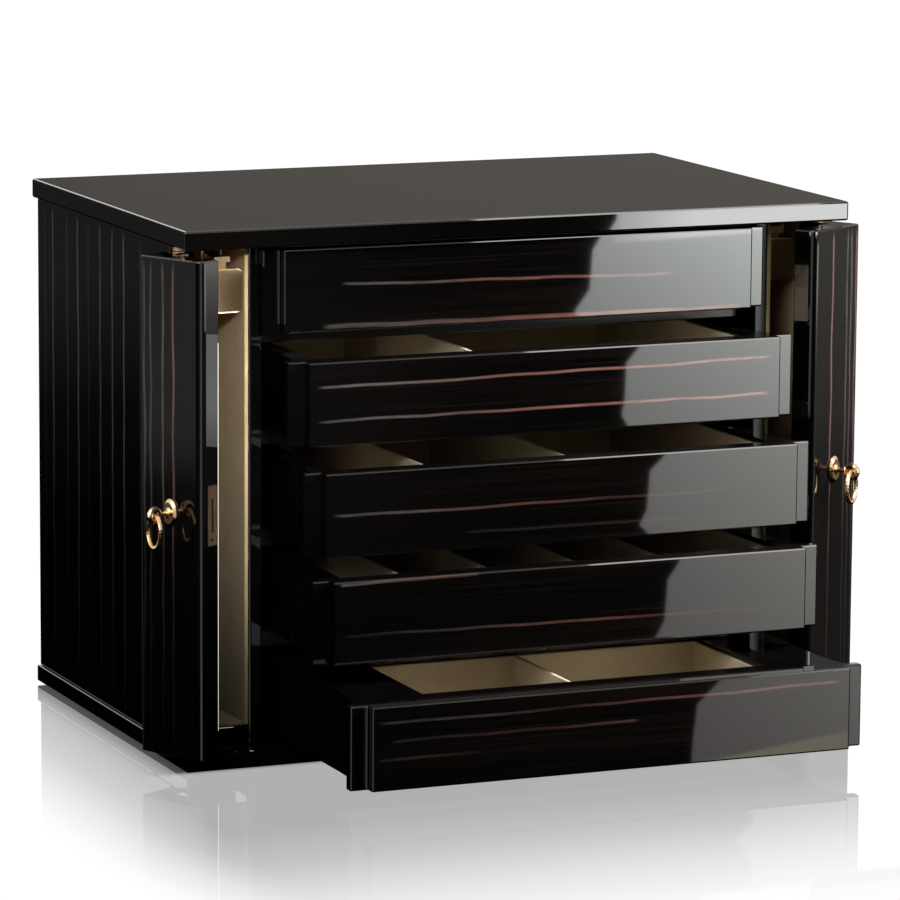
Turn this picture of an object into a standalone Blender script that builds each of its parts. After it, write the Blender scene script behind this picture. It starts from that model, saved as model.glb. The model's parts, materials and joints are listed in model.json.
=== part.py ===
"""Jewellery chest: five staggered drawers between two corner doors, with a sliding necklace hanger behind each door.

Metres, +Z up. X runs across the front, the front faces -Y. The origin is the middle of the footprint, on the floor.
"""
import math

import bmesh
import bpy
from mathutils import Matrix

# Overall size
WIDTH = 0.400
DEPTH = 0.260
HEIGHT = 0.300
SEAM = 0.0003

# Carcass boards
TOP_THICKNESS = 0.011
BASE_THICKNESS = 0.0095
FELT_THICKNESS = 0.0012
FELT_INSET = 0.008
SIDE_INSET = 0.0025
BASE_INSET = 0.001
SIDE_THICKNESS = 0.012
BACK_THICKNESS = 0.006
PARTITION_THICKNESS = 0.0075
COMPARTMENT_WIDTH = 0.0285
BOARD_ARRIS = 0.0008
TOP_ARRIS = 0.0012

# Compartment linings
LINING_THICKNESS = 0.0022
SILL_HEIGHT = 0.0107
PAD_THICKNESS = 0.0015

# Corner doors, with the distances that they stand back from the top's front edge
DOOR_SETBACK = 0.0005
DOOR_THICKNESS = 0.014
DOOR_TOP_GAP = 0.0029
DOOR_FOOT_GAP = 0.0014
DOOR_SIDE_GAP = 0.0008
DOOR_SHUT_GAP = 0.002
DOOR_FREE_ARRIS = 0.0040
DOOR_CORNER_ARRIS = 0.0015
PIN_INSET = 0.004
PIN_SETBACK = 0.027
HINGE_GAP = 0.0007
LEFT_DOOR_OPEN_DEGREES = 63.5
RIGHT_DOOR_OPEN_DEGREES = 29.3

# Door pivots
PIN_RADIUS = 0.002
PIN_CLEARANCE = 0.0003
PIN_ENGAGEMENT = 0.006
COLLAR_RADIUS = 0.0036

# Latch plate in a door's free edge
LATCH_WIDTH = 0.007
LATCH_HEIGHT = 0.033
LATCH_THICKNESS = 0.001
LATCH_SLOT_WIDTH = 0.0016
LATCH_SLOT_LENGTH = 0.019
LATCH_HOLE_RADIUS = 0.0011
LATCH_HOLE_DROP = 0.0135

# Ring pull
PULL_HEIGHT = 0.1475
ROSETTE_RADIUS = 0.0077
ROSETTE_HEIGHT = 0.0018
ROSETTE_NARROW_SHARE = 0.64
POST_RADIUS = 0.0014
POST_REACH = 0.0125
EYE_RADIUS = 0.0036
EYE_WIRE_RADIUS = 0.0016
RING_HALF_WIDTH = 0.0047
RING_HALF_HEIGHT = 0.0089
RING_WIRE_RADIUS = 0.0013

# Drawers
DRAWER_COUNT = 5
FRONT_TOP_GAP = 0.0019
FRONT_FOOT_GAP = 0.0029
FRONT_GAP = 0.0107
FRONT_OVERLAY = 0.002
FACE_SETBACK = 0.0038
FACE_PROUD = 0.0063
STRIP_WIDTH = 0.0100
FACE_ARRIS = 0.0010
BOX_SIDE_GAP = 0.0085
BOX_DROP = 0.001
BOX_LENGTH = 0.222
FLARE_LENGTH = 0.034
FLARE_SIDE_GAP = 0.0005
RIM_WIDTH = 0.0100
DEEP_RIM_WIDTH = 0.039
FRONT_RIM_WIDTH = 0.0035
BOX_FLOOR = 0.004
DRAWER_TRAVEL = 0.165
DRAWER_OPEN_SHARES = (0.0, 0.23, 0.374, 0.45, 0.789)

# Suede trays
TRAY_DROP = 0.0030
TRAY_WALL = 0.0020
TRAY_FLOOR = 0.0015
DIVIDER_THICKNESS = 0.0022
JEWEL_TRAY_DEPTH = 0.088
DIVIDER_SHARES = ((-0.34, 0.34), (-0.244,), (-0.557, 0.102), (-0.714, -0.313, 0.094, 0.485), (-0.1,))

# Shelves that the drawers slide on
SHELF_THICKNESS = 0.0095
SHELF_SETBACK = 0.031
RUNNER_HEIGHT = 0.008
RUNNER_CLEARANCE = 0.0005

# Necklace hangers
TRACK_WIDTH = 0.012
TRACK_HEIGHT = 0.0105
TRACK_WALL = 0.0012
TRACK_SLOT = 0.005
TRACK_END_GAP = 0.002
SLIDER_HEIGHT = 0.003
BAR_DROP = 0.002
BAR_WIDTH = 0.008
BAR_HEIGHT = 0.003
BAR_LENGTH = 0.186
HOOK_COUNT = 9
HOOK_THICKNESS = 0.0024
HOOK_RADIUS = 0.0092
HOOK_WIDTH = 0.0022
HOOK_MOUTH = 0.0052
HOOK_STEM_WIDTH = 0.0030
PLATE_SETBACK = 0.032
PLATE_WIDTH = 0.022
PLATE_HEIGHT = 0.0244
PLATE_THICKNESS = 0.0026
PLATE_CORNER = 0.0032
PLATE_ARRIS = 0.0007
PLATE_RISE = 0.0002
LEFT_HANGER_OUT = 0.015
RIGHT_HANGER_OUT = 0.0

# Overrun of every cutter past the face that it opens
OVERRUN = 0.002

# Places worked out from the sizes above
FRONT = -DEPTH / 2
BACK = DEPTH / 2
BASE_BOTTOM = FELT_THICKNESS + SEAM
BASE_TOP = BASE_BOTTOM + BASE_THICKNESS
CEILING = HEIGHT - TOP_THICKNESS
SIDE_OUTER = WIDTH / 2 - SIDE_INSET
SIDE_INNER = SIDE_OUTER - SIDE_THICKNESS
PARTITION_OUTER = SIDE_INNER - COMPARTMENT_WIDTH
PARTITION_INNER = PARTITION_OUTER - PARTITION_THICKNESS
COMPARTMENT_MIDDLE = (SIDE_INNER + PARTITION_OUTER) / 2
FRONT_HALF = PARTITION_INNER + FRONT_OVERLAY
CARCASS_FRONT = FRONT + DOOR_SETBACK + DOOR_THICKNESS + DOOR_SHUT_GAP
BACK_INNER = BACK - SIDE_INSET - BACK_THICKNESS
PIN_X = SIDE_OUTER - PIN_INSET
PIN_Y = FRONT + PIN_SETBACK
SIDE_FRONT = PIN_Y + PIN_INSET + HINGE_GAP
FRONT_PITCH = (CEILING - BASE_TOP - FRONT_TOP_GAP - FRONT_FOOT_GAP + FRONT_GAP) / DRAWER_COUNT
FRONT_HEIGHT = FRONT_PITCH - FRONT_GAP
BOX_HALF = PARTITION_INNER - BOX_SIDE_GAP
SILL_TOP = BASE_TOP + SEAM + SILL_HEIGHT
DOOR_BOTTOM = BASE_TOP + DOOR_FOOT_GAP
DOOR_TOP = CEILING - DOOR_TOP_GAP
DOOR_FREE_X = FRONT_HALF + DOOR_SIDE_GAP
HINGE_REACH = math.hypot(PIN_INSET, SIDE_THICKNESS - PIN_INSET)


def make_collection(name):
    """A collection in the scene."""
    made = bpy.data.collections.new(name)
    bpy.context.scene.collection.children.link(made)
    return made


def make_material(name, colour, roughness, metallic=0.0, coat=0.0):
    """A Principled material of one colour."""
    made = bpy.data.materials.new(name)
    made.use_nodes = True
    shader = made.node_tree.nodes["Principled BSDF"]
    shader.inputs["Base Color"].default_value = (*colour, 1.0)
    shader.inputs["Roughness"].default_value = roughness
    shader.inputs["Metallic"].default_value = metallic
    shader.inputs["Coat Weight"].default_value = coat
    made.diffuse_color = (*colour, 1.0)
    return made


def place(name, mesh, material, parent=None, cutter=False):
    """Puts a mesh into the scene as a named piece, or as a hidden cutter."""
    piece = bpy.data.objects.new(name, mesh)
    (CUTTERS if cutter else PARTS).objects.link(piece)
    piece.parent = parent
    if cutter:
        piece.hide_render = True
        piece.display_type = "WIRE"
    else:
        mesh.materials.append(material)
    return piece


def make_joint_point(name, location, turn=0.0):
    """An empty on a joint's axis, which carries the pieces that move."""
    point = bpy.data.objects.new(name, None)
    GUIDES.objects.link(point)
    point.location = location
    point.rotation_euler = (0.0, 0.0, turn)
    return point


def add_bevel(piece, width, segments=2):
    """Rounds the sharp edges of a piece."""
    modifier = piece.modifiers.new("arris", "BEVEL")
    modifier.width = width
    modifier.segments = segments
    modifier.limit_method = "ANGLE"
    modifier.angle_limit = math.radians(40)
    return piece


def combine(piece, other, operation):
    """Cuts another object out of a piece, or joins it on."""
    modifier = piece.modifiers.new(other.name, "BOOLEAN")
    modifier.operation = operation
    modifier.solver = "EXACT"
    modifier.object = other
    return piece


def shade_round(mesh):
    """Shades a round piece smooth, with its real edges kept sharp."""
    mesh.shade_smooth()
    mesh.set_sharp_from_angle(angle=math.radians(40))
    return mesh


def block_mesh(name, low, high):
    """A box between two corners, in either order along each axis."""
    size = [abs(b - a) for a, b in zip(low, high)]
    middle = [(a + b) / 2 for a, b in zip(low, high)]
    shape = bmesh.new()
    bmesh.ops.create_cube(shape, size=1.0)
    bmesh.ops.scale(shape, vec=size, verts=shape.verts)
    bmesh.ops.translate(shape, vec=middle, verts=shape.verts)
    mesh = bpy.data.meshes.new(name)
    shape.to_mesh(mesh)
    shape.free()
    return mesh


def cylinder_mesh(name, radius, low, high, sides=24):
    """A round bar along Z, from one height to another."""
    shape = bmesh.new()
    bmesh.ops.create_cone(shape, cap_ends=True, segments=sides, radius1=radius, radius2=radius, depth=high - low)
    bmesh.ops.translate(shape, vec=(0.0, 0.0, (low + high) / 2), verts=shape.verts)
    mesh = bpy.data.meshes.new(name)
    shape.to_mesh(mesh)
    shape.free()
    return mesh


def mesh_from_curve(curve, name):
    """Turns a curve into a closed mesh and removes the curve."""
    holder = bpy.data.objects.new(name + "_curve", curve)
    bpy.context.scene.collection.objects.link(holder)
    bpy.context.view_layer.update()
    evaluated = holder.evaluated_get(bpy.context.evaluated_depsgraph_get())
    mesh = bpy.data.meshes.new_from_object(evaluated)
    mesh.name = name
    bpy.data.objects.remove(holder)
    bpy.data.curves.remove(curve)
    mesh.materials.clear()
    shape = bmesh.new()
    shape.from_mesh(mesh)
    bmesh.ops.remove_doubles(shape, verts=shape.verts, dist=SEAM / 100)
    bmesh.ops.dissolve_limit(shape, angle_limit=math.radians(1), verts=shape.verts, edges=shape.edges)
    bmesh.ops.recalc_face_normals(shape, faces=shape.faces)
    shape.to_mesh(mesh)
    shape.free()
    return mesh


def prism_mesh(name, outline, low, high, along="Z"):
    """A flat outline drawn out between two places: (x, y) along Z or (x, z) along Y."""
    shape = bmesh.new()
    ends = []
    for level in (low, high):
        corners = [(u, v, level) if along == "Z" else (u, level, v) for u, v in outline]
        ends.append([shape.verts.new(corner) for corner in corners])
        shape.faces.new(ends[-1])
    lower, upper = ends
    for n in range(len(outline)):
        shape.faces.new((lower[n - 1], lower[n], upper[n], upper[n - 1]))
    bmesh.ops.recalc_face_normals(shape, faces=shape.faces)
    mesh = bpy.data.meshes.new(name)
    shape.to_mesh(mesh)
    shape.free()
    return mesh


def arc(middle, radius, start, end, steps):
    """Points along an arc, from one angle to another in degrees."""
    points = []
    for n in range(steps + 1):
        angle = math.radians(start + (end - start) * n / steps)
        points.append((middle[0] + radius * math.cos(angle), middle[1] + radius * math.sin(angle)))
    return points


def mirrored(outline, side):
    """An outline for the right of the chest, or its mirror image for the left."""
    return [(side * u, v) for u, v in outline]


def side_name(side):
    """The word for a side: -1 is left and 1 is right."""
    return "left" if side < 0 else "right"


def make_board(name, low, high, material, arris=BOARD_ARRIS, parent=None):
    """A plain board with rounded arrises."""
    return add_bevel(place(name, block_mesh(name, low, high), material, parent), arris)


def make_base_and_top():
    """The felt, the base panel and the overhanging top panel, with the blind holes for the door pivots."""
    felt = (WIDTH / 2 - FELT_INSET, DEPTH / 2 - FELT_INSET)
    place("felt_pad", block_mesh("felt_pad", (-felt[0], -felt[1], 0.0), (*felt, FELT_THICKNESS)), FELT)
    base = (WIDTH / 2 - BASE_INSET, DEPTH / 2 - BASE_INSET)
    base_panel = make_board("base_panel", (-base[0], -base[1], BASE_BOTTOM), (*base, BASE_TOP), LACQUER)
    top_panel = make_board("top_panel", (-WIDTH / 2, FRONT, CEILING), (WIDTH / 2, BACK, HEIGHT), EBONY, TOP_ARRIS)
    for side in (-1, 1):
        name = side_name(side)
        depth = PIN_ENGAGEMENT + PIN_CLEARANCE
        for panel, low, high in ((base_panel, BASE_TOP - depth, BASE_TOP + OVERRUN),
                                 (top_panel, CEILING - OVERRUN, CEILING + depth)):
            cutter_name = name + "_pivot_hole_in_" + panel.name
            hole = cylinder_mesh(cutter_name, PIN_RADIUS + PIN_CLEARANCE, low, high)
            cutter = place(cutter_name, hole, None, cutter=True)
            cutter.location = (side * PIN_X, PIN_Y, 0.0)
            combine(panel, cutter, "DIFFERENCE")


def make_carcass():
    """The sides, back and partitions that stand between the base and the top."""
    low = BASE_TOP + SEAM
    high = CEILING - SEAM
    inner = SIDE_INNER - SEAM
    make_board("back_panel", (-inner, BACK_INNER, low), (inner, BACK - SIDE_INSET, high), LACQUER)
    for side in (-1, 1):
        name = side_name(side)
        make_board(name + "_side", (side * SIDE_INNER, SIDE_FRONT, low),
                   (side * SIDE_OUTER, BACK - SIDE_INSET, high), EBONY)
        make_board(name + "_partition", (side * PARTITION_INNER, CARCASS_FRONT, low),
                   (side * PARTITION_OUTER, BACK_INNER - SEAM, high), LACQUER)


def make_compartment(side):
    """The black sill, the suede pad on it and the suede lining of one side compartment."""
    name = side_name(side)
    inner = PARTITION_OUTER + SEAM
    outer = SIDE_INNER - SEAM
    notch = PIN_X - HINGE_REACH - HINGE_GAP
    back = BACK_INNER - SEAM
    wall = LINING_THICKNESS
    outline = [(inner, CARCASS_FRONT), (notch, CARCASS_FRONT), (notch, SIDE_FRONT), (outer, SIDE_FRONT),
               (outer, back), (inner, back)]
    sill = prism_mesh(name + "_sill", mirrored(outline, side), BASE_TOP + SEAM, SILL_TOP)
    add_bevel(place(name + "_sill", sill, LACQUER), BOARD_ARRIS, 1)
    pad_low = SILL_TOP + SEAM
    make_board(name + "_sill_pad", (side * (inner + wall + SEAM), CARCASS_FRONT, pad_low),
               (side * min(notch, outer - wall - SEAM), back - wall - SEAM, pad_low + PAD_THICKNESS), SUEDE, PAD_THICKNESS / 4)
    outline = [(inner, CARCASS_FRONT), (inner + wall, CARCASS_FRONT), (inner + wall, back - wall),
               (outer - wall, back - wall), (outer - wall, SIDE_FRONT), (outer, SIDE_FRONT), (outer, back), (inner, back)]
    lining = prism_mesh(name + "_lining", mirrored(outline, side), SILL_TOP + SEAM, CEILING - SEAM)
    place(name + "_lining", lining, SUEDE)


def shelf_levels(number):
    """The underside and upper face of the shelf under one drawer, counted from the top."""
    upper = front_bottom(number) + BOX_DROP - SEAM
    lower = upper - SHELF_THICKNESS
    if number == DRAWER_COUNT:
        lower = BASE_TOP + SEAM
    return lower, upper


def make_shelf(number):
    """A full-depth shelf with a low runner along each end, which guides the drawer's side."""
    name = f"shelf_{number}"
    lower, upper = shelf_levels(number)
    half = PARTITION_INNER - SEAM
    shelf = place(name, block_mesh(name, (-half, FRONT + SHELF_SETBACK, lower), (half, BACK_INNER - SEAM, upper)), LACQUER)
    add_bevel(shelf, BOARD_ARRIS, 1)
    start = CARCASS_FRONT + FLARE_LENGTH + RUNNER_CLEARANCE
    for side in (-1, 1):
        runner_name = f"{name}_{side_name(side)}_runner"
        runner = block_mesh(runner_name, (side * (BOX_HALF + RUNNER_CLEARANCE), start, (lower + upper) / 2),
                            (side * half, BACK_INNER - SEAM, upper + RUNNER_HEIGHT))
        combine(shelf, place(runner_name, runner, None, cutter=True), "UNION")


def front_bottom(number):
    """The height of the lower edge of a drawer's front, counted from the top drawer."""
    return CEILING - FRONT_TOP_GAP - FRONT_HEIGHT - (number - 1) * FRONT_PITCH


def make_drawer_front(number, slide):
    """The front board: a proud face between two narrow end strips."""
    name = f"drawer_{number}_front"
    face_y = FRONT + FACE_SETBACK
    strip_y = face_y + FACE_PROUD
    back_y = CARCASS_FRONT - SEAM
    face_half = FRONT_HALF - STRIP_WIDTH
    right_half = [(FRONT_HALF, back_y), (FRONT_HALF, strip_y), (face_half, strip_y), (face_half, face_y)]
    outline = right_half + mirrored(reversed(right_half), -1)
    low = front_bottom(number)
    add_bevel(place(name, prism_mesh(name, outline, low, low + FRONT_HEIGHT), EBONY, slide), FACE_ARRIS)


def box_outline():
    """The drawer box seen from above: straight sides that sweep out in a cove behind the front board."""
    start = CARCASS_FRONT
    flare = PARTITION_INNER - FLARE_SIDE_GAP
    steps = 6
    right_half = [(BOX_HALF, start + BOX_LENGTH)]
    for n in range(steps + 1):
        angle = math.pi / 2 * n / steps
        right_half.append((flare - (flare - BOX_HALF) * math.cos(angle),
                           start + FLARE_LENGTH - FLARE_LENGTH * math.sin(angle)))
    return right_half + mirrored(reversed(right_half), -1)


def tray_pockets(number):
    """The pockets that a drawer's box has for its trays: half width, front end and back end of each."""
    start = CARCASS_FRONT + FRONT_RIM_WIDTH
    end = CARCASS_FRONT + BOX_LENGTH - RIM_WIDTH
    if number < DRAWER_COUNT:
        return [(BOX_HALF - RIM_WIDTH, start, end)]
    half = BOX_HALF - DEEP_RIM_WIDTH
    first = start + RIM_WIDTH
    second = first + JEWEL_TRAY_DEPTH + RIM_WIDTH
    return [(half, first, first + JEWEL_TRAY_DEPTH), (half, second, second + JEWEL_TRAY_DEPTH)]


def make_drawer_box(number, slide):
    """The lacquered box behind a front, with a pocket for each suede tray."""
    name = f"drawer_{number}_box"
    low = front_bottom(number) + BOX_DROP
    high = front_bottom(number) + FRONT_HEIGHT - BOX_DROP
    box = place(name, prism_mesh(name, box_outline(), low, high), LACQUER, slide)
    for n, (half, start, end) in enumerate(tray_pockets(number), 1):
        cutter_name = f"{name}_pocket_{n}"
        cutter = block_mesh(cutter_name, (-half, start, low + BOX_FLOOR), (half, end, high + OVERRUN))
        combine(box, place(cutter_name, cutter, None, slide, cutter=True), "DIFFERENCE")


def make_trays(number, slide):
    """The suede trays of one drawer, each with its open cells."""
    low = front_bottom(number) + BOX_DROP + BOX_FLOOR + SEAM
    high = front_bottom(number) + FRONT_HEIGHT - BOX_DROP - TRAY_DROP
    for n, (pocket_half, start, end) in enumerate(tray_pockets(number), 1):
        name = f"drawer_{number}_tray" if n == 1 else f"drawer_{number}_back_tray"
        half = pocket_half - SEAM
        tray = place(name, block_mesh(name, (-half, start + SEAM, low), (half, end - SEAM, high)), SUEDE, slide)
        inner = half - TRAY_WALL
        edges = [-inner - DIVIDER_THICKNESS / 2]
        edges += [share * inner for share in DIVIDER_SHARES[number - 1]]
        edges += [inner + DIVIDER_THICKNESS / 2]
        for cell, (left, right) in enumerate(zip(edges, edges[1:]), 1):
            cutter_name = f"{name}_cell_{cell}"
            cutter = block_mesh(cutter_name,
                                (left + DIVIDER_THICKNESS / 2, start + SEAM + TRAY_WALL, low + TRAY_FLOOR),
                                (right - DIVIDER_THICKNESS / 2, end - SEAM - TRAY_WALL, high + OVERRUN))
            combine(tray, place(cutter_name, cutter, None, slide, cutter=True), "DIFFERENCE")


def make_drawer(number):
    """One drawer, standing as far out as in use."""
    opened = DRAWER_TRAVEL * DRAWER_OPEN_SHARES[number - 1]
    slide = make_joint_point(f"drawer_{number}_slide", (0.0, -opened, 0.0))
    make_drawer_front(number, slide)
    make_drawer_box(number, slide)
    make_trays(number, slide)


def door_outline():
    """A right door seen from above, from its hinge axis: a front leaf and a short return along the side."""
    out_x = PIN_INSET
    free_x = DOOR_FREE_X - PIN_X
    front_y = FRONT + DOOR_SETBACK - PIN_Y
    inner_y = front_y + DOOR_THICKNESS
    inner_x = PIN_INSET - SIDE_THICKNESS
    outline = arc((0.0, 0.0), PIN_INSET, 90, 0, 6)
    outline += arc((out_x - DOOR_CORNER_ARRIS, front_y + DOOR_CORNER_ARRIS), DOOR_CORNER_ARRIS, 0, -90, 3)
    outline += arc((free_x + DOOR_FREE_ARRIS, front_y + DOOR_FREE_ARRIS), DOOR_FREE_ARRIS, -90, -180, 5)
    outline += [(free_x, inner_y), (inner_x, inner_y), (inner_x, PIN_INSET)]
    return outline


def make_pivot(name, low, collar_low, collar_high, high, hinge):
    """A turned pivot pin with a collar that keeps the door off the panel."""
    pin = place(name, shade_round(cylinder_mesh(name, PIN_RADIUS, low, high, 16)), BRASS, hinge)
    collar_name = name + "_collar"
    collar = place(collar_name, cylinder_mesh(collar_name, COLLAR_RADIUS, collar_low, collar_high, 20), None, hinge, True)
    return combine(pin, collar, "UNION")


def make_pull_post(name, hinge, x, y):
    """The oval rosette, the post and the eye that a ring hangs in, made as one turned and bent piece."""
    rise = ROSETTE_HEIGHT
    reach = POST_REACH
    profile = [(0.0, 0.0), (ROSETTE_RADIUS, 0.0), (ROSETTE_RADIUS, rise / 3), (ROSETTE_RADIUS - rise, rise),
               (POST_RADIUS + rise, rise), (POST_RADIUS, rise + rise / 2), (POST_RADIUS, reach - EYE_RADIUS), (0.0, reach - EYE_RADIUS)]
    shape = bmesh.new()
    verts = [shape.verts.new((radius, 0.0, height)) for radius, height in profile]
    edges = [shape.edges.new(pair) for pair in zip(verts, verts[1:])]
    bmesh.ops.spin(shape, geom=verts + edges, cent=(0.0, 0.0, 0.0), axis=(0.0, 0.0, 1.0), angle=math.tau, steps=24)
    bmesh.ops.remove_doubles(shape, verts=shape.verts, dist=SEAM / 100)
    for vertex in shape.verts:
        beyond = math.hypot(vertex.co.x, vertex.co.y) > POST_RADIUS + rise / 2
        vertex.co.x *= ROSETTE_NARROW_SHARE if beyond else 1.0
    bmesh.ops.recalc_face_normals(shape, faces=shape.faces)
    shape.transform(Matrix.Rotation(math.pi / 2, 4, "X"))
    mesh = bpy.data.meshes.new(name)
    shape.to_mesh(mesh)
    shape.free()
    post = place(name, shade_round(mesh), BRASS, hinge)
    post.location = (x, y - SEAM, PULL_HEIGHT)
    eye_name = name + "_eye"
    eye = place(eye_name, loop_mesh(eye_name, EYE_RADIUS, EYE_RADIUS, EYE_WIRE_RADIUS, 24, "YZ"), None, hinge, True)
    eye.location = (x, y - SEAM - reach, PULL_HEIGHT)
    return combine(post, eye, "UNION")


def loop_mesh(name, half_width, half_height, wire_radius, count, plane):
    """A closed oval wire around the origin, in the XZ or the YZ plane."""
    curve = bpy.data.curves.new(name, "CURVE")
    curve.dimensions = "3D"
    curve.bevel_depth = wire_radius
    curve.bevel_resolution = 2
    spline = curve.splines.new("POLY")
    spline.points.add(count - 1)
    for n, point in enumerate(spline.points):
        angle = math.tau * n / count
        across = half_width * math.cos(angle)
        rise = half_height * math.sin(angle)
        point.co = (across, 0.0, rise, 1.0) if plane == "XZ" else (0.0, across, rise, 1.0)
    spline.use_cyclic_u = True
    return shade_round(mesh_from_curve(curve, name))


def make_ring(name, hinge, x, y):
    """The oval ring, hanging from the wire that passes through the eye."""
    ring = loop_mesh(name, RING_HALF_WIDTH, RING_HALF_HEIGHT, RING_WIRE_RADIUS, 28, "XZ")
    for vertex in ring.vertices:
        vertex.co.z -= RING_HALF_HEIGHT
    piece = place(name, ring, BRASS, hinge)
    piece.location = (x, y - SEAM - POST_REACH, PULL_HEIGHT)


def make_latch(side, hinge, door):
    """The slotted brass plate let into the free edge, and its recess."""
    name = side_name(side) + "_latch_plate"
    free_x = DOOR_FREE_X - PIN_X
    middle_y = FRONT + DOOR_SETBACK - PIN_Y + (DOOR_FREE_ARRIS + DOOR_THICKNESS) / 2
    low_y = middle_y - LATCH_WIDTH / 2
    high_y = middle_y + LATCH_WIDTH / 2
    low_z = PULL_HEIGHT - LATCH_HEIGHT / 2
    high_z = PULL_HEIGHT + LATCH_HEIGHT / 2
    recess_name = name + "_recess"
    recess = block_mesh(recess_name, (side * (free_x - OVERRUN), low_y - SEAM, low_z - SEAM),
                        (side * (free_x + LATCH_THICKNESS + SEAM), high_y + SEAM, high_z + SEAM))
    combine(door, place(recess_name, recess, None, hinge, True), "DIFFERENCE")
    plate = place(name, block_mesh(name, (side * free_x, low_y, low_z), (side * (free_x + LATCH_THICKNESS), high_y, high_z)),
                  BRASS, hinge)
    slot_name = name + "_slot"
    slot = block_mesh(slot_name, (side * (free_x - OVERRUN), middle_y - LATCH_SLOT_WIDTH / 2, PULL_HEIGHT - LATCH_SLOT_LENGTH / 2),
                      (side * (free_x + LATCH_THICKNESS + OVERRUN), middle_y + LATCH_SLOT_WIDTH / 2,
                       PULL_HEIGHT + LATCH_SLOT_LENGTH / 2))
    combine(plate, place(slot_name, slot, None, hinge, True), "DIFFERENCE")
    hole_name = name + "_hole"
    hole = cylinder_mesh(hole_name, LATCH_HOLE_RADIUS, -OVERRUN, OVERRUN, 12)
    hole.transform(Matrix.Rotation(math.pi / 2, 4, "Y"))
    cutter = place(hole_name, hole, None, hinge, True)
    cutter.location = (side * free_x, middle_y, PULL_HEIGHT - LATCH_HOLE_DROP)
    combine(plate, cutter, "DIFFERENCE")


def make_door(side, open_degrees):
    """A corner door on its hinge axis, turned open, with its pivots, latch plate and ring pull."""
    name = side_name(side)
    hinge = make_joint_point(name + "_hinge", (side * PIN_X, PIN_Y, 0.0), side * math.radians(open_degrees))
    mesh = prism_mesh(name + "_door", mirrored(door_outline(), side), DOOR_BOTTOM, DOOR_TOP)
    door = add_bevel(place(name + "_door", mesh, EBONY, hinge), BOARD_ARRIS)
    bores = ((DOOR_BOTTOM - OVERRUN, DOOR_BOTTOM + PIN_ENGAGEMENT + PIN_CLEARANCE, "lower"),
             (DOOR_TOP - PIN_ENGAGEMENT - PIN_CLEARANCE, DOOR_TOP + OVERRUN, "upper"))
    for low, high, word in bores:
        bore_name = f"{name}_door_{word}_bore"
        bore = cylinder_mesh(bore_name, PIN_RADIUS + PIN_CLEARANCE, low, high, 16)
        combine(door, place(bore_name, bore, None, hinge, True), "DIFFERENCE")
    make_pivot(name + "_lower_pivot", BASE_TOP - PIN_ENGAGEMENT, BASE_TOP + SEAM, DOOR_BOTTOM - SEAM,
               DOOR_BOTTOM + PIN_ENGAGEMENT, hinge)
    make_pivot(name + "_upper_pivot", DOOR_TOP - PIN_ENGAGEMENT, DOOR_TOP + SEAM, CEILING - SEAM,
               CEILING + PIN_ENGAGEMENT, hinge)
    make_latch(side, hinge, door)
    pull_x = side * ((DOOR_FREE_X + SIDE_OUTER) / 2 - PIN_X)
    pull_y = FRONT + DOOR_SETBACK - PIN_Y
    make_pull_post(name + "_pull_post", hinge, pull_x, pull_y)
    make_ring(name + "_ring", hinge, pull_x, pull_y)


def hanger_levels():
    """Heights of a hanger: the track's lips, then the top and bottom of the bar under it."""
    track_bottom = CEILING - SEAM - TRACK_HEIGHT
    bar_top = track_bottom - BAR_DROP
    return track_bottom, bar_top, bar_top - BAR_HEIGHT


def make_track(side):
    """A slotted brass channel under the top, in which the hanger slides."""
    name = side_name(side) + "_track"
    high = CEILING - SEAM
    low = high - TRACK_HEIGHT
    wide = TRACK_WIDTH / 2
    slot = TRACK_SLOT / 2
    wall = TRACK_WALL
    half = [(wide, high), (wide, low), (slot, low), (slot, low + wall), (wide - wall, low + wall), (wide - wall, high - wall)]
    outline = half + mirrored(reversed(half), -1)
    start = FRONT + PLATE_SETBACK + PLATE_THICKNESS + TRACK_END_GAP
    end = BACK_INNER - SEAM - LINING_THICKNESS - SEAM
    track = place(name, prism_mesh(name, outline, start, end, "Y"), BRASS)
    track.location = (side * COMPARTMENT_MIDDLE, 0.0, 0.0)


def hook_outline(bar_bottom):
    """One double hook seen from the front: a stem that ends in a bow with both round tips turned up."""
    stem = HOOK_STEM_WIDTH / 2
    tip = HOOK_WIDTH / 2
    hollow = HOOK_RADIUS - HOOK_WIDTH
    middle = (0.0, bar_bottom - HOOK_MOUTH - tip)
    lift = math.degrees(math.asin(stem / hollow))
    right_half = [(stem, bar_bottom + BAR_HEIGHT / 2)]
    right_half += arc(middle, hollow, lift - 90, 0, 5)
    right_half += arc((hollow + tip, middle[1]), tip, 180, 0, 4)[1:-1]
    right_half += arc(middle, HOOK_RADIUS, 0, -90, 6)
    return right_half + mirrored(reversed(right_half[:-1]), -1)


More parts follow.
